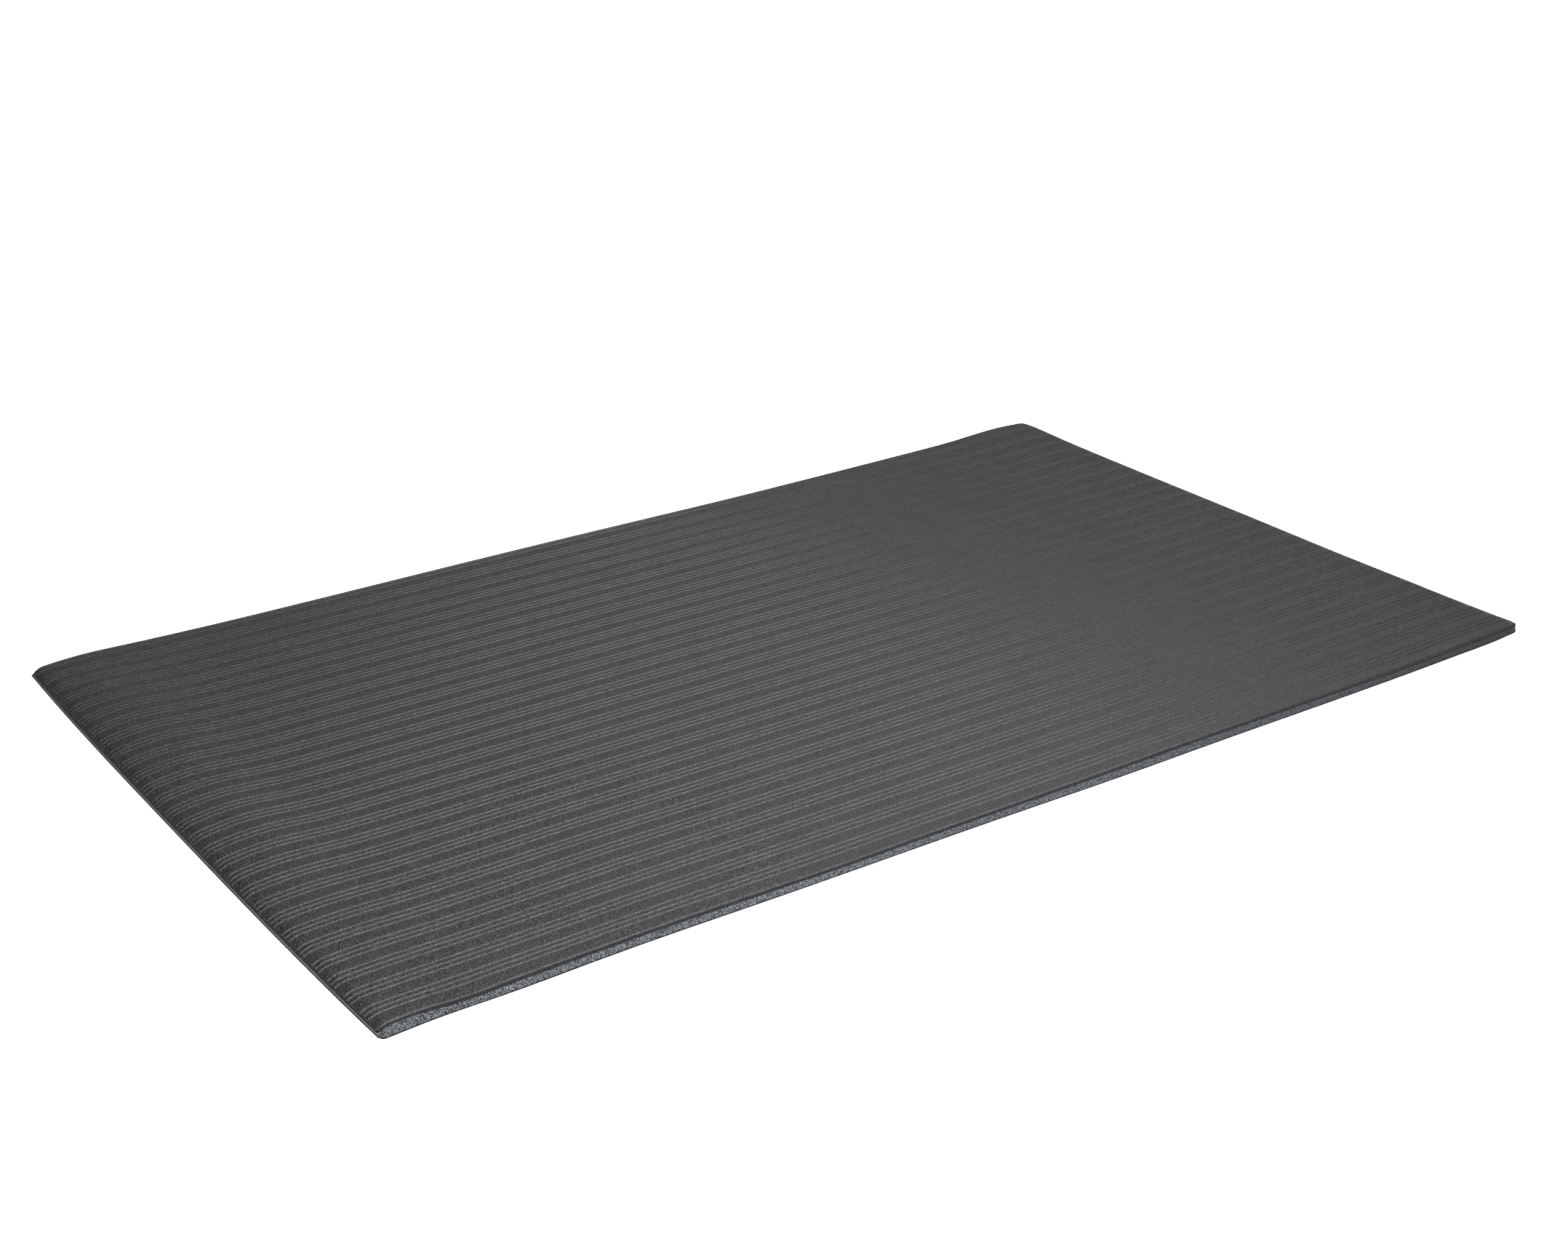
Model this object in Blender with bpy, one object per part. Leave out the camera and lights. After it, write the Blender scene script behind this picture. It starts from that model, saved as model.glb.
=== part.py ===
"""Ribbed anti-fatigue floor mat, 3 ft by 5 ft.

The mat is three sheets bonded face to face: a thin base skin that grips the floor, a soft
closed-cell foam core, and an embossed vinyl wear layer. Its grooves run the whole length in
groups of three, with a wide land between the groups. The long edges are cut to a slope, and
the two ends are pressed down thin before they are cut.

Metres, +Z up. The origin is the centre of the underside, +X runs along the grooves and +Y
across them.
"""

import math

import bmesh
import bpy

# Overall size
LENGTH = 1.524
WIDTH = 0.9144
THICKNESS = 0.0095

# The sheets. Each bond line is left open by BOND_GAP.
BASE_THICKNESS = 0.0006
WEAR_THICKNESS = 0.0016
BOND_GAP = 0.0003

# Grooves of the wear layer
GROOVE_DEPTH = 0.0010
GROOVE_MOUTH = 0.0034
GROOVE_FLOOR = 0.0014
GROOVE_PITCH = 0.0074
GROOVES_IN_GROUP = 3
GROUP_PITCH = 0.0324
GROUP_PHASE = 0.0206  # first groove of the group nearest the centre line

# Cut edges
CORNER_RADIUS = 0.0080
CORNER_STEPS = 3
SIDE_SLOPE_RUN = 0.0045  # how far the long edges lean in over the full thickness
END_SLOPE_RUN = 0.0010
END_TAPER = 0.0016  # how far the top sinks over the last stretch before an end
END_TAPER_RUN = 0.0400
END_ROLL = 0.0024  # how much further it rolls over at the very end
END_ROLL_RUN = 0.0060
CORNER_ZONE = 0.0200  # the rounding of a corner reaches this far in from a long edge

# Heights of the faces in the flat sheet
FOAM_BOTTOM = BASE_THICKNESS + BOND_GAP
WEAR_BOTTOM = THICKNESS - WEAR_THICKNESS
FOAM_TOP = WEAR_BOTTOM - BOND_GAP

CHARCOAL_VINYL = (0.075, 0.075, 0.080)
GREY_FOAM = (0.190, 0.200, 0.215)
DARK_FILM = (0.045, 0.045, 0.048)


def clear_scene():
    for obj in list(bpy.data.objects):
        bpy.data.objects.remove(obj, do_unlink=True)


def plain_material(name, colour, roughness):
    material = bpy.data.materials.new(name)
    material.use_nodes = True
    shader = material.node_tree.nodes["Principled BSDF"]
    shader.inputs["Base Color"].default_value = (*colour, 1.0)
    shader.inputs["Roughness"].default_value = roughness
    shader.inputs["Metallic"].default_value = 0.0
    return material


def half_width(height):
    """Half the width at this height of the flat sheet, where the long edges slope in."""
    return WIDTH / 2 - SIDE_SLOPE_RUN * height / THICKNESS


def end_stations():
    """(distance from the end, corner inset) of each cross-section near one end."""
    stations = []
    for step in range(CORNER_STEPS + 1):
        angle = math.pi / 2 * step / CORNER_STEPS
        distance = CORNER_RADIUS * (1 - math.cos(angle))
        inset = CORNER_RADIUS * (1 - math.sin(angle))
        stations.append((distance, inset))
    stations.append((END_TAPER_RUN, 0.0))
    return stations


def pressed_height(height, distance):
    """Height once the end is pressed down: the foam takes it up evenly, the wear layer follows."""
    drop = END_TAPER * max(0.0, 1 - distance / END_TAPER_RUN) ** 2
    drop += END_ROLL * max(0.0, 1 - distance / END_ROLL_RUN) ** 2
    share = (height - FOAM_BOTTOM) / (FOAM_TOP - FOAM_BOTTOM)
    return height - drop * min(1.0, max(0.0, share))


def rounded_in(across, inset):
    """Moves a point near a long edge inwards, so that the edge itself moves by the inset."""
    core = WIDTH / 2 - CORNER_ZONE
    beyond = abs(across) - core
    if beyond <= 0:
        return across
    return math.copysign(abs(across) - inset * beyond / CORNER_ZONE, across)


def cross_section(bm, profile, side, distance, inset):
    """One closed ring of vertices from a profile of (across, height) points."""
    ring = []
    for across, height in profile:
        lean = END_SLOPE_RUN * height / THICKNESS
        lean *= max(0.0, 1 - distance / END_TAPER_RUN)
        along = side * (LENGTH / 2 - distance - lean)
        place = (along, rounded_in(across, inset), pressed_height(height, distance))
        ring.append(bm.verts.new(place))
    return ring


def sheet(name, profile, material, parent):
    """A sheet of the mat: its profile carried from one end to the other."""
    bm = bmesh.new()
    stations = end_stations()
    rings = [cross_section(bm, profile, -1, *station) for station in stations]
    rings += [cross_section(bm, profile, 1, *station) for station in reversed(stations)]
    for ring, following in zip(rings, rings[1:]):
        for i in range(len(profile)):
            j = (i + 1) % len(profile)
            bm.faces.new((ring[i], ring[j], following[j], following[i]))
    bm.faces.new(rings[0])
    bm.faces.new(rings[-1])
    bmesh.ops.recalc_face_normals(bm, faces=bm.faces)
    mesh = bpy.data.meshes.new(name)
    bm.to_mesh(mesh)
    bm.free()
    mesh.materials.append(material)
    obj = bpy.data.objects.new(name, mesh)
    obj.parent = parent
    bpy.context.scene.collection.objects.link(obj)
    return obj


def flat_profile(bottom, top):
    return [
        (-half_width(bottom), bottom),
        (half_width(bottom), bottom),
        (half_width(top), top),
        (-half_width(top), top),
    ]


def web_profile():
    """(across, height) points of the embossed top, over a web wider than the mat cut from it."""
    points = []
    floor = THICKNESS - GROOVE_DEPTH
    groups = math.ceil(WIDTH / GROUP_PITCH)
    for group in range(-groups, groups + 1):
        for place in range(GROOVES_IN_GROUP):
            centre = GROUP_PHASE + group * GROUP_PITCH + place * GROOVE_PITCH
            points.append((centre - GROOVE_MOUTH / 2, THICKNESS))
            points.append((centre - GROOVE_FLOOR / 2, floor))
            points.append((centre + GROOVE_FLOOR / 2, floor))
            points.append((centre + GROOVE_MOUTH / 2, THICKNESS))
    return points


def height_at(across, points):
    """Height of the embossed top at one place across the web."""
    for (start, low), (end, high) in zip(points, points[1:]):
        if start <= across <= end:
            return low + (high - low) * (across - start) / (end - start)
    raise ValueError("the web is narrower than the mat")


def ribbed_profile():
    """The wear layer's section, cut out of the web: flat below, grooved above."""
    web = web_profile()
    edge = half_width(THICKNESS)
    top = [(-edge, height_at(-edge, web))]
    top += [point for point in web if abs(point[0]) < edge]
    top.append((edge, height_at(edge, web)))
    foot = half_width(WEAR_BOTTOM)
    return [(-foot, WEAR_BOTTOM), (foot, WEAR_BOTTOM), *reversed(top)]


def build_mat():
    clear_scene()
    mat = bpy.data.objects.new("mat", None)
    bpy.context.scene.collection.objects.link(mat)
    film = plain_material("base_film", DARK_FILM, 0.8)
    foam = plain_material("foam", GREY_FOAM, 0.95)
    vinyl = plain_material("ribbed_vinyl", CHARCOAL_VINYL, 0.55)
    sheet("base_skin", flat_profile(0.0, BASE_THICKNESS), film, mat)
    sheet("foam_core", flat_profile(FOAM_BOTTOM, FOAM_TOP), foam, mat)
    sheet("wear_layer", ribbed_profile(), vinyl, mat)


build_mat()
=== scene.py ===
"""Looks of the ribbed anti-fatigue mat: its three bonded sheets, lying loose on a pale floor.

Metres, +Z up, +X along the grooves, in the frame of the CAD model. Every vertex starts at a
place in the flat sheet (along, across, height). lay_down() then gives it the shape that the
mat has on the floor: pressed thin at both ends, humped near the left one, curled at the right.
"""

import math

import bpy
import numpy as np
from mathutils import Euler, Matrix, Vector, noise


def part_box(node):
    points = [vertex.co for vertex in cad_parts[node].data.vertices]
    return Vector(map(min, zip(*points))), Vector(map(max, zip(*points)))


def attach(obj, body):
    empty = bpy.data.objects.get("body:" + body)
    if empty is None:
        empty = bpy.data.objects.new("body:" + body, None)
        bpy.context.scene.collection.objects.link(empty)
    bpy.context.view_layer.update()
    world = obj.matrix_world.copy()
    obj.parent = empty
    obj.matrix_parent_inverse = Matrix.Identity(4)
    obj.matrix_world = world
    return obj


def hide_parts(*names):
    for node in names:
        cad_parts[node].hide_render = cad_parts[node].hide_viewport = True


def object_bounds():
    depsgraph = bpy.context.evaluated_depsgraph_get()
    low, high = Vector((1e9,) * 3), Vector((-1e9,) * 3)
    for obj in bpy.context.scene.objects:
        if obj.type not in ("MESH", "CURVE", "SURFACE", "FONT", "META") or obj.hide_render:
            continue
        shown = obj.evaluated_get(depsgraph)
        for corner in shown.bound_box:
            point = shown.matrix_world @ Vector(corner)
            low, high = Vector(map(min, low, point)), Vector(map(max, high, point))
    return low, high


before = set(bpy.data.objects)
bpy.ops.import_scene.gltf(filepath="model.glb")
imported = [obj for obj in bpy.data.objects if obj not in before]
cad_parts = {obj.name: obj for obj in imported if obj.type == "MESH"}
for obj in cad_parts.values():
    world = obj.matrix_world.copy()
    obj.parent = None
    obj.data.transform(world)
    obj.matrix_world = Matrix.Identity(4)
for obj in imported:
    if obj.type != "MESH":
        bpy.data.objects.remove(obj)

CAD_LOW, CAD_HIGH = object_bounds()
BASE_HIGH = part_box("base_skin")[1]
FOAM_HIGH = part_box("foam_core")[1]
WEAR_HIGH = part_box("wear_layer")[1]

# The flat sheet. The bond lines are almost closed here.
LENGTH = CAD_HIGH.x - CAD_LOW.x
WIDTH = CAD_HIGH.y - CAD_LOW.y
THICKNESS = WEAR_HIGH.z
CAD_BOND_GAP = 0.0003
BOND_GAP = 0.0001
BASE_TOP = BASE_HIGH.z
FOAM_BOTTOM = BASE_TOP + BOND_GAP
WEAR_BOTTOM = FOAM_HIGH.z + CAD_BOND_GAP
FOAM_TOP = WEAR_BOTTOM - BOND_GAP

# Embossing of the wear layer: grooves placed as in the CAD model, but deeper and rounded
GROOVE_DEPTH = 0.0014
GROOVE_HALF_WIDTH = 0.0013
GROOVE_HALF_FLOOR = 0.0003
GROOVE_SAMPLES = (0.0003, 0.00055, 0.0008, 0.00105, 0.0013, 0.0019, 0.0028)
GROOVE_PITCH = 0.0074
GROOVES_IN_GROUP = 3
GROUP_PITCH = 0.0324
GROUP_PHASE = 0.0206
SHOULDER_DROP = 0.00042  # how far the rounded ribs fall away towards a groove
SHOULDER_REACH = 0.0019
RIBS_START = 0.0010  # distance from a cut end where the embossing begins
RIBS_FULL = 0.0026
LAND_PARTS = 3  # a wide land is sampled at the places that split it in this many parts
EDGE_MARGIN = 0.0002  # no sample lies closer to a long edge than this

# Painted highlight on the groove walls, standing in for the light caught there. It fades to the
# right, and towards the rear left corner.
HIGHLIGHT_AT = 0.0009
HIGHLIGHT_SPREAD = 0.00030
HIGHLIGHT_FADE_RIGHT = 0.92
HIGHLIGHT_FADE_START = 0.00
HIGHLIGHT_FADE_FULL = 0.65
HIGHLIGHT_FADE_REAR_LEFT = 0.75
REAR_LEFT_SLANT = 0.9
REAR_LEFT_START = 0.35
REAR_LEFT_FULL = 1.00

# Painted shade in the groove floors. It begins near the middle, and is darkest at the rear
# right.
SHADE_START = -0.05
SHADE_FULL = 0.45
SHADE_REACH = 0.0010
SHADE_FRONT = 0.38
SHADE_REAR = 0.78
SHADE_FRONT_ENDS = -0.30
SHADE_REAR_BEGINS = 0.40

# Cut edges and pressed ends
SIDE_SLOPE_RUN = 0.0045  # how far the long edges lean in over the full thickness
END_LEAN = 0.0008  # the same for the ends
END_TAPER = 0.0006  # how far the top sinks over the last stretch before an end
END_TAPER_RUN = 0.0400
END_ROLL = 0.0046  # how much further it rolls over at the very end
END_ROLL_RUN = 0.0160
END_ROLL_POWER = 2.2
CORNER_PINCH = 0.0012  # how much thinner the foam is pressed at the very corners
CORNER_PINCH_RUN = 0.0120
END_PRESS = {-1: 1.0, 1: 0.3}  # the left end is pressed down hard, the right one hardly
# How far each corner, by (end, edge), lies further in than the middle of its end
CORNER_BOW = {(-1, -1): 0.0055, (-1, 1): 0.0055, (1, -1): -0.0120, (1, 1): 0.0050}
END_BOW_RUN = 0.1200
LEFT_OVERSHOOT = 0.0015  # how far the left end reaches past the CAD's
CORNER_ZONE = 0.0220  # the rounding of a corner reaches this far in from a long edge
CORNER_RADIUS = {(-1, -1): 0.0050, (-1, 1): 0.0020, (1, -1): 0.0150, (1, 1): 0.0100}

# Cross-sections along the mat: distances from an end, then an even spacing between
END_STATIONS = (
    0.0, 0.0004, 0.0009, 0.0015, 0.0022, 0.0030, 0.0040, 0.0052, 0.0066, 0.0084, 0.0110, 0.0140,
    0.0180, 0.0230, 0.0290, 0.0360, 0.0440, 0.0530, 0.0620, 0.0720, 0.0830, 0.0950, 0.1080,
    0.1240, 0.1440, 0.1700,
)  # fmt: skip
MIDDLE_SPACING = 0.0560

# How the mat lies. Each list is (place, value), with a smooth curve through it.
LEFT_HUMP_AT = 0.060  # distance of the hump's crest from the left end
LEFT_HUMP_SIGMA = 0.055
LEFT_HUMP = (
    (-0.457, 0.0002), (-0.410, 0.0004), (-0.346, 0.0012), (-0.283, 0.0020), (-0.219, 0.0024),
    (-0.155, 0.0036), (-0.090, 0.0052), (0.130, 0.0053), (0.354, 0.0052), (0.418, 0.0028),
    (0.457, 0.0020),
)  # fmt: skip
RIGHT_CURL_START = 0.172  # distance from the right end where it begins to leave the floor
RIGHT_CURL_FULL = 0.050
RIGHT_CURL = (
    (-0.457, 0.0009), (-0.410, 0.0009), (-0.346, 0.0014), (-0.283, 0.0020), (-0.219, 0.0020),
    (-0.155, 0.0018), (-0.090, 0.0020), (0.354, 0.0026), (0.418, 0.0038), (0.457, 0.0044),
)  # fmt: skip
BUMP_PLACE = (-0.430, -0.320)
BUMP_SPREAD = (0.100, 0.150)
BUMP_HEIGHT = 0.0014
REAR_LIFT = (
    (0.200, 0.0000), (0.385, 0.0008), (0.535, 0.0018), (0.640, 0.0024), (0.715, 0.0022),
    (0.762, 0.0012),
)  # fmt: skip
REAR_LIFT_REACH = 0.110

# How far the long edges wander from straight, outwards, at the top line and at the floor
FRONT_TOP_WANDER = (
    (-0.762, -0.0004), (-0.705, -0.0010), (-0.680, 0.0020), (-0.615, 0.0004), (-0.505, -0.0006),
    (-0.415, 0.0004), (-0.315, 0.0018), (-0.245, 0.0032), (-0.165, 0.0020), (-0.015, 0.0022),
    (0.085, 0.0018), (0.235, 0.0008), (0.335, 0.0016), (0.435, 0.0026), (0.585, 0.0034),
    (0.685, 0.0010), (0.762, 0.0000),
)  # fmt: skip
FRONT_FOOT_WANDER = (
    (-0.762, 0.0030), (-0.705, 0.0004), (-0.620, 0.0008), (-0.515, -0.0012), (-0.365, 0.0000),
    (-0.065, 0.0006), (0.135, 0.0026), (0.235, 0.0018), (0.535, 0.0014), (0.635, 0.0000),
    (0.720, -0.0010), (0.762, -0.0040),
)  # fmt: skip
REAR_TOP_WANDER = (
    (-0.762, 0.0000), (-0.685, 0.0042), (-0.515, 0.0018), (-0.200, 0.0038), (-0.100, 0.0042),
    (0.235, 0.0020), (0.535, 0.0042), (0.700, 0.0060), (0.762, 0.0046),
)  # fmt: skip
REAR_FOOT_WANDER = ((-0.762, 0.0000), (0.000, 0.0000), (0.535, 0.0015), (0.762, 0.0040))
WANDER_REACH = 0.055

# Cut foam, vinyl and film on the long edges
FOAM_STATION_SPACING = 0.0011
FOAM_ROWS = 7
PIT_DEPTH = 0.00040
PIT_SIZE = 0.0010
PIT_COARSER = 2.7  # the coarser pits are this much larger, and shallower by the share below
PIT_COARSE_SHARE = 0.35
EDGE_DRAG = 0.0012  # how far the knife drags the vinyl down over the foam
EDGE_DRAG_START = 0.0200  # not at the left end, where the foam shows up to the top line
EDGE_DRAG_FULL = 0.0700
FILM_LIP = 0.0007  # how far the film stands proud
FILM_LIP_LEVELS = (0.8, 0.2)  # the lip's upper and lower corner, as shares of the film

# Flat faces: how many places across the mat they are sampled at, and how near to an edge
WEAR_COLUMNS = 14
FOAM_COLUMNS = 16
FILM_COLUMNS = 24
EDGE_COLUMN = 0.0080
SHARP_ANGLE = 38.0  # in degrees: a steeper fold is shaded as an edge
END_FACING = 0.7  # a foam face belongs to a cut end where its normal has this much of X

# Colours and finish
VINYL_DARK = (0.010, 0.010, 0.011)
VINYL_LIGHT = (0.015, 0.015, 0.0165)
VINYL_SPECK = (0.082, 0.082, 0.087)
# Painted highlight on the groove walls
VINYL_PAINTED_HIGHLIGHT = (0.200, 0.200, 0.205)
# Painted shade in the groove floors
VINYL_PAINTED_SHADE = (0.003, 0.003, 0.003)
CUT_DARK = (0.016, 0.016, 0.017)
CUT_LIGHT = (0.034, 0.034, 0.037)
VINYL_ROUGHNESS = 0.46
SHADE_DULLS = 0.45  # how much rougher the grooves are where shade is painted
FOAM_SPECK_DARK = (0.012, 0.013, 0.015)
FOAM_SPECK_LIGHT = (0.31, 0.34, 0.38)
FOAM_PAINTED_SHADE = 0.84  # painted shade: how far the foam's colour darkens along its length, towards the right end
FOAM_PAINTED_SHADE_START = -0.30
FOAM_PAINTED_SHADE_FULL = 0.70
FOAM_END_DARK = (0.19, 0.205, 0.225)
FOAM_END_LIGHT = (0.33, 0.35, 0.375)
FILM_DARK = (0.008, 0.008, 0.009)
FILM_LIGHT = (0.014, 0.014, 0.015)
CUT_ROUGHNESS = 0.8
FOAM_ROUGHNESS = 0.85
FILM_ROUGHNESS = 0.85
DULL_SPECULAR = 0.15

# Studio and camera. Each softbox has a name, place, aim, size and power in watts.
LIGHTS = (
    ("key_left", (-0.7, -1.3, 1.5), (-0.3, -0.1, 0.0), (1.0, 1.0), 23.0),
    ("key_front", (0.2, -1.3, 1.5), (0.0, 0.0, 0.0), (1.0, 1.0), 25.4),
    ("overhead", (0.3, -0.2, 1.8), (0.2, 0.0, 0.0), (1.0, 1.0), 7.2),
    ("overhead_right", (1.2, 0.2, 1.8), (0.6, 0.3, 0.0), (1.0, 1.0), 15.0),
    ("back_panel", (1.5, 3.6, 1.1), (0.1, 0.0, 0.0), (5.0, 1.6), 12.5),
    ("back_high", (1.8, 2.2, 2.4), (0.1, 0.0, 0.0), (2.0, 1.4), 9.0),
)
BACKDROP_SEEN = 1.0  # strength of the pale backdrop for the camera, and for everything else
BACKDROP_LIGHT = 0.02
FLOOR_GLOW = 1.1  # the same two for the floor's own glow
FLOOR_BOUNCE = 0.45
FLOOR_SIZE = 40.0
FLOOR_GREY = 0.93
FLOOR_ROUGHNESS = 0.9
WHITE = (1.0, 1.0, 1.0, 1.0)
CAMERA_PLACE = (-1.465, -2.085, 1.167)
CAMERA_TURN = (23.94, 34.99, 0.08)  # pitch down, turn towards +X from +Y, roll, in degrees
CAMERA_LENS = 54.02
SENSOR_WIDTH = 36.0
FAR_CLIP = 100.0


def smooth_curve(points, where):
    """Height of a smooth curve through (place, value) points, flat beyond both ends."""
    places = np.array([point[0] for point in points])
    values = np.array([point[1] for point in points])
    slopes = np.gradient(values, places)
    slopes[0] = 0.0
    slopes[-1] = 0.0
    where = np.clip(where, places[0], places[-1])
    index = np.clip(np.searchsorted(places, where) - 1, 0, len(places) - 2)
    step = places[index + 1] - places[index]
    u = (where - places[index]) / step
    start = (1 + 2 * u) * (1 - u) ** 2 * values[index] + u * (1 - u) ** 2 * step * slopes[index]
    end = u**2 * (3 - 2 * u) * values[index + 1] - u**2 * (1 - u) * step * slopes[index + 1]
    return start + end


def smoothstep(value, low, high):
    """0 below low and 1 above high, with a smooth rise between them."""
    u = np.clip((value - low) / (high - low), 0.0, 1.0)
    return u * u * (3 - 2 * u)


def lift(along, across):
    """How far the mat's underside stands off the floor."""
    from_left = along + LENGTH / 2
    from_right = LENGTH / 2 - along
    crest = np.exp(-(((from_left - LEFT_HUMP_AT) / LEFT_HUMP_SIGMA) ** 2))
    foot = math.exp(-((LEFT_HUMP_AT / LEFT_HUMP_SIGMA) ** 2))
    crest -= foot * np.clip(1 - from_left / LEFT_HUMP_AT, 0.0, 1.0) ** 2
    height = smooth_curve(LEFT_HUMP, across) * crest
    rise = 1 - smoothstep(from_right, RIGHT_CURL_FULL, RIGHT_CURL_START)
    height += smooth_curve(RIGHT_CURL, across) * rise
    bump_x = (along - BUMP_PLACE[0]) / BUMP_SPREAD[0]
    bump_y = (across - BUMP_PLACE[1]) / BUMP_SPREAD[1]
    height += BUMP_HEIGHT * np.exp(-(bump_x**2) - bump_y**2)
    near_rear = smoothstep(across, WIDTH / 2 - REAR_LIFT_REACH, WIDTH / 2)
    height += smooth_curve(REAR_LIFT, along) * near_rear
    return np.clip(height, 0.0, None)


def corner_inset(side, flank, distance):
    """How far a rounded corner moves the long edge in, at this distance from the end."""
    radius = CORNER_RADIUS[side, flank]
    inside = np.clip(radius - distance, 0.0, radius)
    return radius - np.sqrt(radius**2 - inside**2)


def lay_down(along, across, height):
    """The place of points of the flat sheet once the mat lies on the floor."""
    side = np.where(along < 0, -1, 1)
    distance = LENGTH / 2 - np.abs(along)
    drop = END_TAPER * np.clip(1 - distance / END_TAPER_RUN, 0.0, 1.0) ** 2
    drop = drop + END_ROLL * np.clip(1 - distance / END_ROLL_RUN, 0.0, 1.0) ** END_ROLL_POWER
    drop = drop * np.where(side < 0, END_PRESS[-1], END_PRESS[1])
    level = height / THICKNESS

    beyond = np.clip(np.abs(across) - (WIDTH / 2 - CORNER_ZONE), 0.0, None) / CORNER_ZONE
    inset = np.zeros_like(distance)
    bow = np.zeros_like(distance)
    for corner in CORNER_RADIUS:
        here = (side == corner[0]) & (np.sign(across) == corner[1])
        inset = np.where(here, corner_inset(*corner, distance), inset)
        bow = np.where(here, CORNER_BOW[corner], bow)
    y = across - np.sign(across) * inset * beyond

    near_end = np.clip(1 - distance / END_BOW_RUN, 0.0, 1.0) ** 2
    bow = bow * np.abs(across / (WIDTH / 2)) ** 3
    bow = bow - np.where(side < 0, LEFT_OVERSHOOT, 0.0)
    x = along - side * (bow + END_LEAN * level) * near_end

    near_front = 1 - smoothstep(across, -WIDTH / 2, -WIDTH / 2 + WANDER_REACH)
    near_rear = smoothstep(across, WIDTH / 2 - WANDER_REACH, WIDTH / 2)
    front = smooth_curve(FRONT_TOP_WANDER, x) * level
    front += smooth_curve(FRONT_FOOT_WANDER, x) * (1 - level)
    rear = smooth_curve(REAR_TOP_WANDER, x) * level
    rear += smooth_curve(REAR_FOOT_WANDER, x) * (1 - level)
    y = y - front * near_front + rear * near_rear

    pinch = CORNER_PINCH * np.clip(1 - distance / CORNER_PINCH_RUN, 0.0, 1.0) ** 2
    foam_share = np.clip((height - BASE_TOP) / (FOAM_TOP - BASE_TOP), 0.0, 1.0)
    z = height - (drop + pinch * np.clip(beyond, 0.0, 1.0) ** 2) * foam_share + lift(x, y)
    return np.stack([x, y, z], axis=-1)


def groove_centres():
    """Centres of all grooves that the mat's width cuts or crosses."""
    centres = []
    groups = math.ceil(WIDTH / GROUP_PITCH)
    for group in range(-groups, groups + 1):
        for place in range(GROOVES_IN_GROUP):
            centres.append(GROUP_PHASE + group * GROUP_PITCH + place * GROOVE_PITCH)
    reach = WIDTH / 2 + GROOVE_PITCH
    return np.array([centre for centre in centres if abs(centre) < reach])


def distance_to_groove(across, centres):
    """How far each place is from the middle of its nearest groove."""
    return np.min(np.abs(across[:, None] - centres[None, :]), axis=1)


def relief(across, centres):
    """Depth of the embossed top below the ribs' crests."""
    gap = distance_to_groove(across, centres)
    groove = 1 - smoothstep(gap, GROOVE_HALF_FLOOR, GROOVE_HALF_WIDTH)
    shoulder = SHOULDER_DROP * np.exp(-((gap / SHOULDER_REACH) ** 2))
    return (GROOVE_DEPTH - SHOULDER_DROP) * groove + shoulder


def ribbed_columns(edge, centres):
    """Places across the mat where its top is sampled: densely in the grooves."""
    samples = np.array(GROOVE_SAMPLES)
    in_groove = np.concatenate([-samples[::-1], samples])
    columns = (centres[:, None] + in_groove[None, :]).ravel()
    lands = centres[:-1][np.diff(centres) > 1.5 * GROOVE_PITCH]
    step = (GROUP_PITCH - (GROOVES_IN_GROUP - 1) * GROOVE_PITCH) / LAND_PARTS
    on_lands = [lands + part * step for part in range(1, LAND_PARTS)]
    columns = np.sort(np.concatenate([columns, *on_lands]))
    inside = columns[np.abs(columns) < edge - EDGE_MARGIN]
    return np.concatenate([[-edge], inside, [edge]])


def half_width(height):
    """Half the width at this height of the flat sheet, where the long edges slope in."""
    return WIDTH / 2 - SIDE_SLOPE_RUN * height / THICKNESS


def long_stations():
    """Places along the mat where a cross-section is taken."""
    ends = np.array(END_STATIONS)
    inner = LENGTH / 2 - ends[-1]
    count = int(math.ceil(2 * inner / MIDDLE_SPACING))
    middle = np.linspace(-inner, inner, count + 1)[1:-1]
    return np.concatenate([ends - LENGTH / 2, middle, (LENGTH / 2 - ends)[::-1]])


def strip_between(upper, lower, places):
    """Triangles that join two rows of vertices, given each vertex's place along the rows."""
    faces = []
    i = 0
    j = 0
    while i < len(upper) - 1 or j < len(lower) - 1:
        next_upper = places[upper[i + 1]] if i < len(upper) - 1 else math.inf
        next_lower = places[lower[j + 1]] if j < len(lower) - 1 else math.inf
        if next_upper <= next_lower:
            faces.append((upper[i], lower[j], upper[i + 1]))
            i += 1
        else:
            faces.append((upper[i], lower[j], lower[j + 1]))
            j += 1
    return faces


def fan(apex, chain):
    """Triangles from one vertex to each step of a chain of vertices."""
    return [(apex, start, end) for start, end in zip(chain, chain[1:])]


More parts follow.
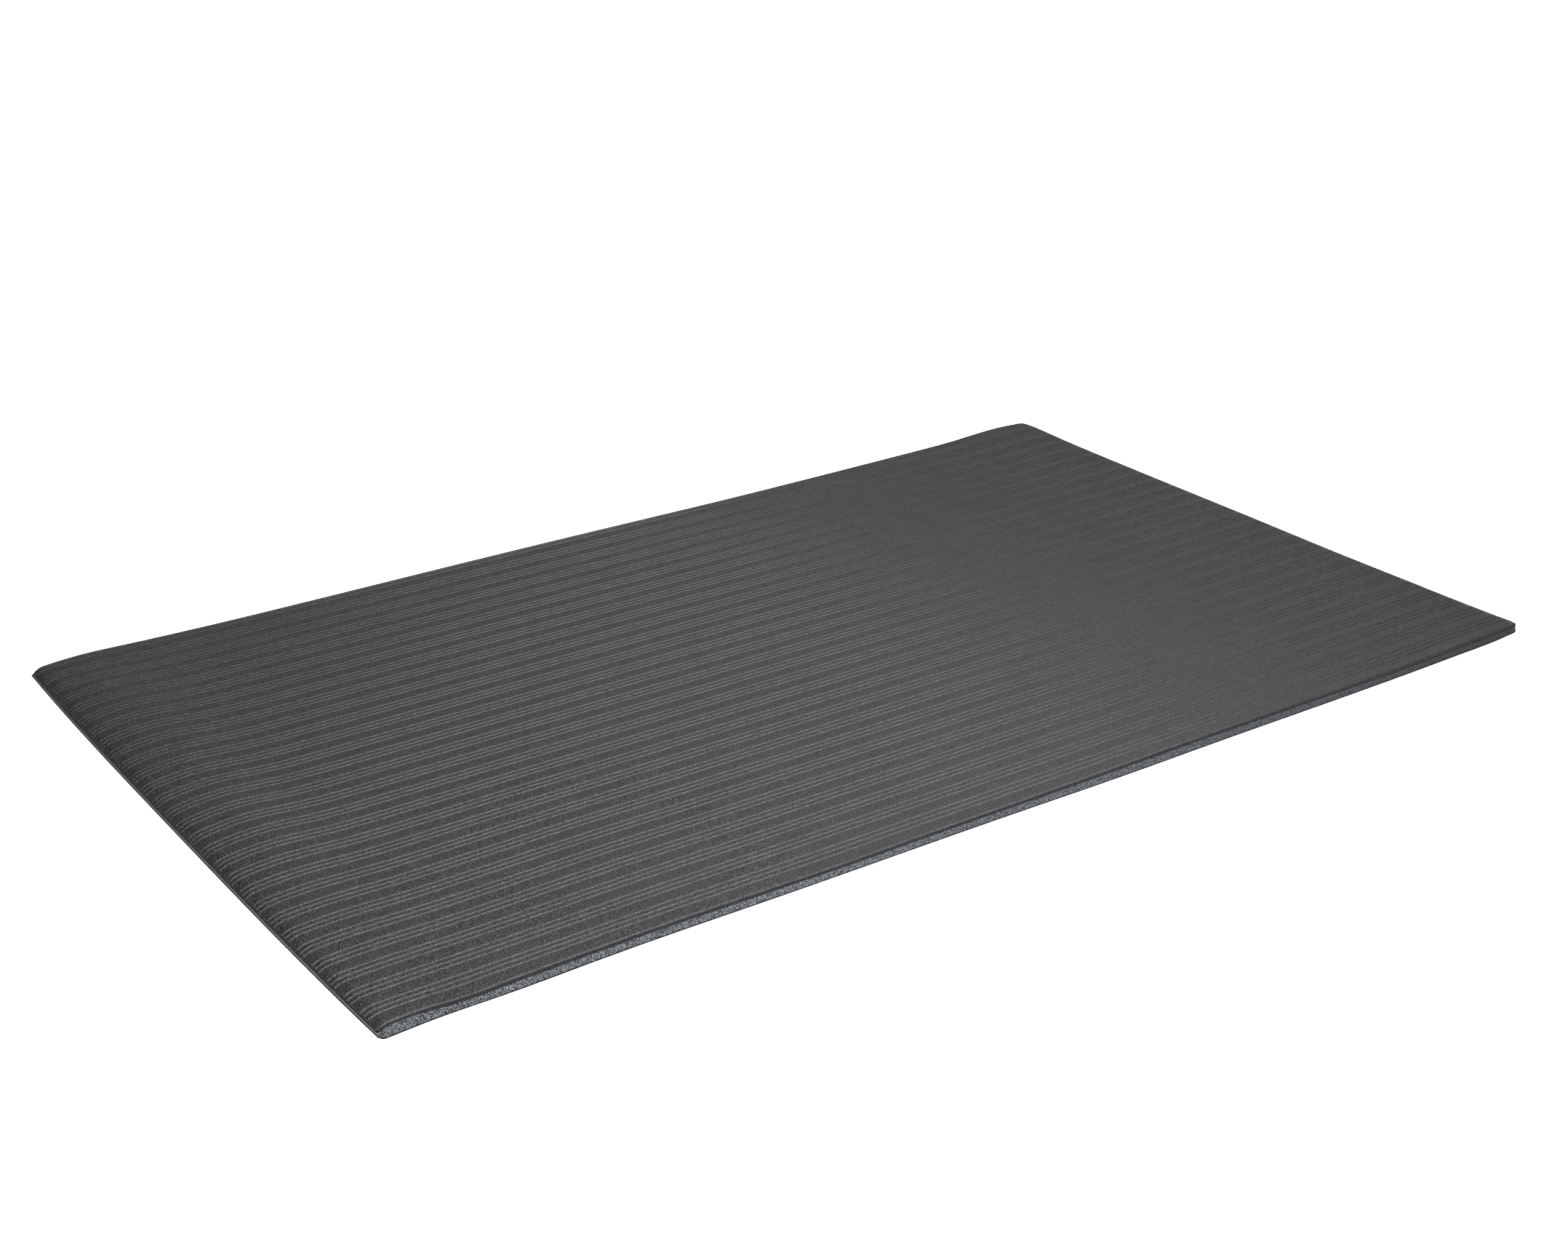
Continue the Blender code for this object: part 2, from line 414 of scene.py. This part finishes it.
def shell(name, stations, top, flank, bottom, reshape=None):
    """A closed sheet, from (across, height) rows of its cross-section.

    top and bottom run from the front edge to the rear one. flank holds the points between
    them, down the front edge, and is mirrored for the rear. reshape may move the grid of
    (along, across, height) points of the flat sheet before it is laid down.
    """
    rear = [(-across, height) for across, height in flank]
    ring = flank[::-1] + top + rear + bottom[::-1]
    size = len(ring)
    shape = (len(stations), size)
    along = np.broadcast_to(stations[:, None], shape)
    across = np.broadcast_to(np.array([point[0] for point in ring]), shape)
    height = np.broadcast_to(np.array([point[1] for point in ring]), shape)
    places = across[0]
    if reshape:
        across, height = reshape(along, across, height)
    points = lay_down(along, across, height).reshape(-1, 3)

    row = np.arange(len(stations) - 1)[:, None] * size
    here = np.arange(size)[None, :]
    after = (here + 1) % size
    sides = (row + here, row + size + here, row + size + after, row + after)
    faces = np.stack(sides, axis=-1).reshape(-1, 4).tolist()

    front = list(range(len(flank)))[::-1]
    upper = list(range(len(flank), len(flank) + len(top)))
    down = list(range(upper[-1] + 1, upper[-1] + 1 + len(flank)))
    lower = list(range(size - len(bottom), size))[::-1]
    cap = fan(lower[1], [upper[0], *front, lower[0]])
    cap += strip_between(upper, lower[1:-1], places)
    cap += fan(lower[-2], [lower[-1], *down[::-1], upper[-1]])
    last = (len(stations) - 1) * size
    faces += [face[::-1] for face in cap]
    faces += [tuple(last + corner for corner in face) for face in cap]

    mesh = bpy.data.meshes.new(name)
    mesh.from_pydata(points.tolist(), [], faces)
    mesh.shade_smooth()
    mesh.set_sharp_from_angle(angle=math.radians(SHARP_ANGLE))
    obj = bpy.data.objects.new(name, mesh)
    bpy.context.scene.collection.objects.link(obj)
    return obj


def flat_row(height, count):
    """A row of evenly spaced points with one more close to each edge, at one height."""
    edge = half_width(height)
    inner = np.linspace(-edge + EDGE_COLUMN, edge - EDGE_COLUMN, count)
    return [(float(across), height) for across in (-edge, *inner, edge)]


def drag_edge(along, height, low):
    """Height of points on a long edge, once the knife has dragged the vinyl down."""
    fade = smoothstep(along + LENGTH / 2, EDGE_DRAG_START, EDGE_DRAG_FULL)
    share = np.clip((height - low) / (WEAR_BOTTOM - low), 0.0, 1.0)
    return height - EDGE_DRAG * fade * share


def groove_tones(stations, columns, centres):
    """How strongly a highlight is painted on the groove walls and shade in the groove floors,
    from 0 to 1.
    """
    gap = distance_to_groove(columns, centres)
    strength = smoothstep(LENGTH / 2 - np.abs(stations), RIBS_START, RIBS_FULL)
    strength *= 1 - HIGHLIGHT_FADE_RIGHT * smoothstep(stations, HIGHLIGHT_FADE_START, HIGHLIGHT_FADE_FULL)
    slanted = columns[None, :] - REAR_LEFT_SLANT * stations[:, None]
    rear_left = smoothstep(slanted, REAR_LEFT_START, REAR_LEFT_FULL)
    # Painted highlight: a paler band on the groove walls, fading to the right and towards the
    # rear left
    painted_highlight = np.exp(-(((gap - HIGHLIGHT_AT) / HIGHLIGHT_SPREAD) ** 2))
    pale = strength[:, None] * painted_highlight * (1 - HIGHLIGHT_FADE_REAR_LEFT * rear_left)

    # Painted shade: the groove floors are darkened, more towards the rear right
    rear = smoothstep(columns, SHADE_FRONT_ENDS, SHADE_REAR_BEGINS)
    depth = SHADE_FRONT + (SHADE_REAR - SHADE_FRONT) * rear
    right = smoothstep(stations, SHADE_START, SHADE_FULL)
    dark = right[:, None] * depth * np.exp(-((gap / SHADE_REACH) ** 2))
    return {"groove_painted_highlight": pale, "groove_painted_shade": dark}


def mark_cut_faces(mesh, sections, top_count, bottom_count):
    """Gives the wear layer's cut edges and ends its second material."""
    ring = top_count + bottom_count
    first_cap = (sections - 1) * ring
    for face in mesh.polygons:
        on_edge = face.index % ring in (top_count - 1, ring - 1)
        if on_edge or face.index >= first_cap:
            face.material_index = 1


def ribbed_top():
    """The embossed wear layer. Its ribs fade out just before the cut ends."""
    centres = groove_centres()
    columns = ribbed_columns(half_width(THICKNESS), centres)
    top = [(float(across), THICKNESS) for across in columns]
    depth = relief(columns, centres)

    def emboss(along, across, height):
        distance = LENGTH / 2 - np.abs(along)
        strength = smoothstep(distance, RIBS_START, RIBS_FULL)
        height = height.copy()
        across = across.copy()
        height[:, : len(columns)] -= depth[None, :] * strength[:, : len(columns)]
        for foot in (len(columns), -1):
            height[:, foot] = drag_edge(along[:, foot], height[:, foot], FOAM_BOTTOM)
            across[:, foot] = np.sign(across[:, foot]) * half_width(height[:, foot])
        return across, height

    stations = long_stations()
    bottom = flat_row(WEAR_BOTTOM, WEAR_COLUMNS)
    skin = shell("ribbed_top", stations, top, [], bottom, emboss)
    for name, tone in groove_tones(stations, columns, centres).items():
        values = np.zeros((len(stations), len(top) + len(bottom)))
        values[:, : len(top)] = tone
        attribute = skin.data.attributes.new(name, "FLOAT", "POINT")
        attribute.data.foreach_set("value", values.ravel())
    mark_cut_faces(skin.data, len(stations), len(top), len(bottom))
    return skin


def foam():
    """The foam core, its long sides torn into small pits by the knife."""
    levels = np.linspace(FOAM_TOP, FOAM_BOTTOM, FOAM_ROWS + 2)[1:-1]
    flank = [(-half_width(float(level)), float(level)) for level in levels]
    count = int(LENGTH / FOAM_STATION_SPACING)
    stations = np.linspace(-LENGTH / 2, LENGTH / 2, count + 1)
    top = flat_row(FOAM_TOP, FOAM_COLUMNS)
    bottom = flat_row(FOAM_BOTTOM, FOAM_COLUMNS)

    def pit(along, across, height):
        rear_start = len(flank) + len(top)
        flanks = [*range(len(flank)), *range(rear_start, rear_start + len(flank))]
        edges = [*flanks, len(flank), rear_start - 1]
        height = height.copy()
        across = across.copy()
        height[:, edges] = drag_edge(along[:, edges], height[:, edges], FOAM_BOTTOM)
        across[:, edges] = np.sign(across[:, edges]) * half_width(height[:, edges])
        for column in flanks:
            for row in range(1, len(stations) - 1):
                place = Vector((along[row, column], across[row, column], height[row, column]))
                depth = 0.5 + 0.5 * noise.noise(place / PIT_SIZE)
                depth += PIT_COARSE_SHARE * noise.noise(place / (PIT_COARSER * PIT_SIZE))
                across[row, column] -= math.copysign(PIT_DEPTH * depth, across[row, column])
        return across, height

    return shell("foam_core_soft", stations, top, flank, bottom, pit)


def base_film():
    """The thin film under the foam. Its edge stands a little proud of the foam's."""
    lip = -half_width(0.0) - FILM_LIP
    flank = [(lip, level * BASE_TOP) for level in FILM_LIP_LEVELS]
    stations = long_stations()
    stations[0] -= FILM_LIP
    stations[-1] += FILM_LIP
    top = flat_row(BASE_TOP, FILM_COLUMNS)
    return shell("base_film_skin", stations, top, flank, flat_row(0.0, FILM_COLUMNS))


# Materials. Object coordinates are metres, so a noise scale of 1000 has features of about 1 mm.


def new_material(name):
    """A material, its node tree and the Principled shader wired to the tree's output."""
    material = bpy.data.materials.new(name)
    material.use_nodes = True
    tree = material.node_tree
    shader = tree.nodes["Principled BSDF"]
    return material, tree, shader


def node(tree, kind, **settings):
    """A new node. Settings name its properties, or its inputs where it has no such property."""
    made = tree.nodes.new(kind)
    for key, value in settings.items():
        if hasattr(made, key):
            setattr(made, key, value)
        else:
            made.inputs[key.replace("_", " ")].default_value = value
    return made


def stretched(tree, scale):
    """Object coordinates in metres, scaled by (x, y, z)."""
    place = node(tree, "ShaderNodeTexCoord")
    mapping = node(tree, "ShaderNodeMapping")
    mapping.inputs["Scale"].default_value = scale
    tree.links.new(place.outputs["Object"], mapping.inputs["Vector"])
    return mapping.outputs["Vector"]


def noise_texture(tree, scale, detail=3.0, roughness=0.55):
    """Smooth noise with this many features per metre along each axis."""
    made = node(tree, "ShaderNodeTexNoise", Detail=detail, Roughness=roughness)
    made.inputs["Scale"].default_value = 1.0
    tree.links.new(stretched(tree, scale), made.inputs["Vector"])
    return made.outputs["Fac"]


def cell_texture(tree, density):
    """Distance to the nearest of many points, this many per metre along each axis."""
    made = node(tree, "ShaderNodeTexVoronoi")
    made.inputs["Scale"].default_value = 1.0
    tree.links.new(stretched(tree, (density, density, density)), made.inputs["Vector"])
    return made.outputs["Distance"]


def ramp(tree, value, low, high, dark=0.0, light=1.0):
    """Maps a value from low..high to dark..light, as numbers."""
    made = node(tree, "ShaderNodeMapRange")
    made.inputs["From Min"].default_value = low
    made.inputs["From Max"].default_value = high
    made.inputs["To Min"].default_value = dark
    made.inputs["To Max"].default_value = light
    tree.links.new(value, made.inputs["Value"])
    return made.outputs["Result"]


def blend_colours(tree, factor, first, second):
    """Mixes two colours, each a socket or an (r, g, b) value."""
    made = node(tree, "ShaderNodeMix", data_type="RGBA")
    for socket, value in ((made.inputs[6], first), (made.inputs[7], second)):
        if isinstance(value, bpy.types.NodeSocket):
            tree.links.new(value, socket)
        else:
            socket.default_value = (*value, 1.0)
    tree.links.new(factor, made.inputs[0])
    return made.outputs[2]


def combine(tree, operation, first, second):
    """One Math node on two values, each a socket or a number."""
    made = node(tree, "ShaderNodeMath", operation=operation)
    for socket, value in zip(made.inputs, (first, second)):
        if isinstance(value, bpy.types.NodeSocket):
            tree.links.new(value, socket)
        else:
            socket.default_value = value
    return made.outputs[0]


def bump(tree, height, distance, strength, below=None):
    """A bump, laid over the bump below it where there is one."""
    made = node(tree, "ShaderNodeBump")
    made.inputs["Distance"].default_value = distance
    made.inputs["Strength"].default_value = strength
    tree.links.new(height, made.inputs["Height"])
    if below:
        tree.links.new(below, made.inputs["Normal"])
    return made.outputs["Normal"]


def ribbed_vinyl():
    """Charcoal embossed vinyl: leathery grain, soft streaks along the ribs, faint mottling."""
    material, tree, shader = new_material("ribbed_vinyl")
    grain = cell_texture(tree, 460.0)
    fine = noise_texture(tree, (860.0, 620.0, 860.0), detail=2.0, roughness=0.5)
    streak = noise_texture(tree, (9.0, 260.0, 9.0), detail=3.0)
    mottle = noise_texture(tree, (14.0, 14.0, 14.0), detail=4.0)

    patch = combine(tree, "ADD", combine(tree, "MULTIPLY", streak, 0.5), mottle)
    tone = ramp(tree, patch, low=0.45, high=1.05)
    colour = blend_colours(tree, tone, VINYL_DARK, VINYL_LIGHT)
    speck = ramp(tree, fine, low=0.48, high=0.62)
    colour = blend_colours(tree, speck, colour, VINYL_SPECK)
    # Painted highlight: the groove walls are made paler, in glinting patches
    painted_highlight = node(tree, "ShaderNodeAttribute", attribute_name="groove_painted_highlight").outputs["Fac"]
    glint_noise = noise_texture(tree, (900.0, 900.0, 900.0), detail=1.0)
    painted_glints = ramp(tree, glint_noise, low=0.36, high=0.68, dark=0.1)
    painted_highlight = combine(tree, "MULTIPLY", painted_highlight, painted_glints)
    colour = blend_colours(tree, painted_highlight, colour, VINYL_PAINTED_HIGHLIGHT)
    # Painted shade: the groove floors are darkened and made rougher
    shade = node(tree, "ShaderNodeAttribute", attribute_name="groove_painted_shade").outputs["Fac"]
    colour = blend_colours(tree, shade, colour, VINYL_PAINTED_SHADE)
    tree.links.new(colour, shader.inputs["Base Color"])
    uneven = ramp(tree, patch, low=0.45, high=1.05, dark=0.05, light=-0.05)
    gloss = combine(tree, "ADD", uneven, VINYL_ROUGHNESS)
    gloss = combine(tree, "ADD", gloss, ramp(tree, shade, low=0.0, high=1.0, light=SHADE_DULLS))
    tree.links.new(gloss, shader.inputs["Roughness"])

    normal = bump(tree, grain, distance=0.00040, strength=1.0)
    normal = bump(tree, fine, distance=0.00110, strength=1.0, below=normal)
    tree.links.new(normal, shader.inputs["Normal"])
    return material


def cut_vinyl():
    """The vinyl's own cut edge: darker and duller than its embossed face."""
    material, tree, shader = new_material("vinyl_cut")
    drag = noise_texture(tree, (160.0, 160.0, 900.0), detail=3.0)
    tone = ramp(tree, drag, low=0.35, high=0.7)
    colour = blend_colours(tree, tone, CUT_DARK, CUT_LIGHT)
    tree.links.new(colour, shader.inputs["Base Color"])
    shader.inputs["Roughness"].default_value = CUT_ROUGHNESS
    shader.inputs["Specular IOR Level"].default_value = DULL_SPECULAR
    normal = bump(tree, drag, distance=0.0002, strength=0.6)
    tree.links.new(normal, shader.inputs["Normal"])
    return material


def cut_foam(name, dark, light, pitted):
    """Cut closed-cell foam: coarse bright and dark specks, or a smooth trimmed face, with shade
    painted towards the right end.
    """
    material, tree, shader = new_material(name)
    cells = cell_texture(tree, 1150.0)
    patches = noise_texture(tree, (620.0, 620.0, 620.0), detail=2.0, roughness=0.6)
    fleck = combine(tree, "ADD", cells, patches)
    low, high = (0.62, 1.12) if pitted else (0.2, 1.6)
    shade = ramp(tree, fleck, low, high)
    place = node(tree, "ShaderNodeSeparateXYZ")
    tree.links.new(stretched(tree, (1.0, 1.0, 1.0)), place.inputs["Vector"])
    along = place.outputs["X"]
    # Painted shade: the foam's colour darkens towards the right end, where less light falls
    painted_shade_along = ramp(tree, along, FOAM_PAINTED_SHADE_START, FOAM_PAINTED_SHADE_FULL, light=FOAM_PAINTED_SHADE)
    bright = blend_colours(tree, painted_shade_along, light, dark)
    tree.links.new(blend_colours(tree, shade, bright, dark), shader.inputs["Base Color"])
    shader.inputs["Roughness"].default_value = FOAM_ROUGHNESS
    depth = 0.0005 if pitted else 0.0001
    normal = bump(tree, fleck, distance=depth, strength=0.8)
    tree.links.new(normal, shader.inputs["Normal"])
    return material


def film():
    """Dark film with a fine non-slip emboss."""
    material, tree, shader = new_material("base_film")
    dots = cell_texture(tree, 420.0)
    haze = noise_texture(tree, (30.0, 30.0, 30.0), detail=3.0)
    tone = ramp(tree, haze, low=0.35, high=0.7)
    colour = blend_colours(tree, tone, FILM_DARK, FILM_LIGHT)
    tree.links.new(colour, shader.inputs["Base Color"])
    shader.inputs["Roughness"].default_value = FILM_ROUGHNESS
    shader.inputs["Specular IOR Level"].default_value = DULL_SPECULAR
    normal = bump(tree, dots, distance=0.0003, strength=0.7)
    tree.links.new(normal, shader.inputs["Normal"])
    return material


def dress():
    """Makes the three pieces, gives them their materials and ties them to the CAD."""
    top = ribbed_top()
    top.data.materials.append(ribbed_vinyl())
    top.data.materials.append(cut_vinyl())
    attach(top, "root")
    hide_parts("wear_layer")

    core = foam()
    core.data.materials.append(cut_foam("foam_side", FOAM_SPECK_DARK, FOAM_SPECK_LIGHT, True))
    core.data.materials.append(cut_foam("foam_end", FOAM_END_DARK, FOAM_END_LIGHT, False))
    for face in core.data.polygons:
        if abs(face.normal.x) > END_FACING:
            face.material_index = 1
    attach(core, "root")
    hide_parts("foam_core")

    base = base_film()
    base.data.materials.append(film())
    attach(base, "root")
    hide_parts("base_skin")


# Studio


def area_light(name, place, aim, size, power):
    """A soft rectangular light that faces its aim. It lights the mat but isn't seen itself."""
    data = bpy.data.lights.new(name, "AREA")
    data.shape = "RECTANGLE"
    data.size, data.size_y = size
    data.energy = power
    obj = bpy.data.objects.new(name, data)
    obj.location = place
    direction = Vector(aim) - Vector(place)
    obj.rotation_euler = direction.to_track_quat("-Z", "Y").to_euler()
    obj.visible_camera = False
    bpy.context.scene.collection.objects.link(obj)


def studio():
    """The pale backdrop, the floor and the softboxes."""
    scene = bpy.context.scene
    scene.view_settings.view_transform = "Standard"
    world = bpy.data.worlds.new("pale_studio")
    world.use_nodes = True
    tree = world.node_tree
    seen = tree.nodes["Background"]
    seen.inputs["Strength"].default_value = BACKDROP_SEEN
    dim = node(tree, "ShaderNodeBackground", Strength=BACKDROP_LIGHT)
    seen.inputs["Color"].default_value = WHITE
    dim.inputs["Color"].default_value = WHITE
    mix = node(tree, "ShaderNodeMixShader")
    tree.links.new(node(tree, "ShaderNodeLightPath").outputs["Is Camera Ray"], mix.inputs[0])
    tree.links.new(dim.outputs[0], mix.inputs[1])
    tree.links.new(seen.outputs[0], mix.inputs[2])
    tree.links.new(mix.outputs[0], tree.nodes["World Output"].inputs["Surface"])
    scene.world = world

    bpy.ops.mesh.primitive_plane_add(size=FLOOR_SIZE, location=(0.0, 0.0, 0.0))
    floor = bpy.context.object
    floor.name = "studio_floor"
    material, tree, shader = new_material("studio_floor")
    shader.inputs["Base Color"].default_value = (FLOOR_GREY, FLOOR_GREY, FLOOR_GREY, 1.0)
    shader.inputs["Roughness"].default_value = FLOOR_ROUGHNESS
    shader.inputs["Specular IOR Level"].default_value = 0.0
    shader.inputs["Emission Color"].default_value = WHITE
    direct = node(tree, "ShaderNodeLightPath").outputs["Is Camera Ray"]
    glow = ramp(tree, direct, low=0.0, high=1.0, dark=FLOOR_BOUNCE, light=FLOOR_GLOW)
    tree.links.new(glow, shader.inputs["Emission Strength"])
    floor.data.materials.append(material)

    for light in LIGHTS:
        area_light(*light)


def camera():
    """The camera, at the viewing angle of the picture of the mat."""
    data = bpy.data.cameras.new("camera")
    data.lens = CAMERA_LENS
    data.sensor_width = SENSOR_WIDTH
    data.clip_end = FAR_CLIP
    obj = bpy.data.objects.new("camera", data)
    obj.location = CAMERA_PLACE
    pitch, yaw, roll = CAMERA_TURN
    level = Euler((math.radians(90.0 - pitch), 0.0, math.radians(-yaw))).to_matrix()
    tilt = Euler((0.0, 0.0, math.radians(roll))).to_matrix()
    obj.rotation_euler = (level @ tilt).to_euler()
    bpy.context.scene.collection.objects.link(obj)
    bpy.context.scene.camera = obj


camera()
dress()
studio()
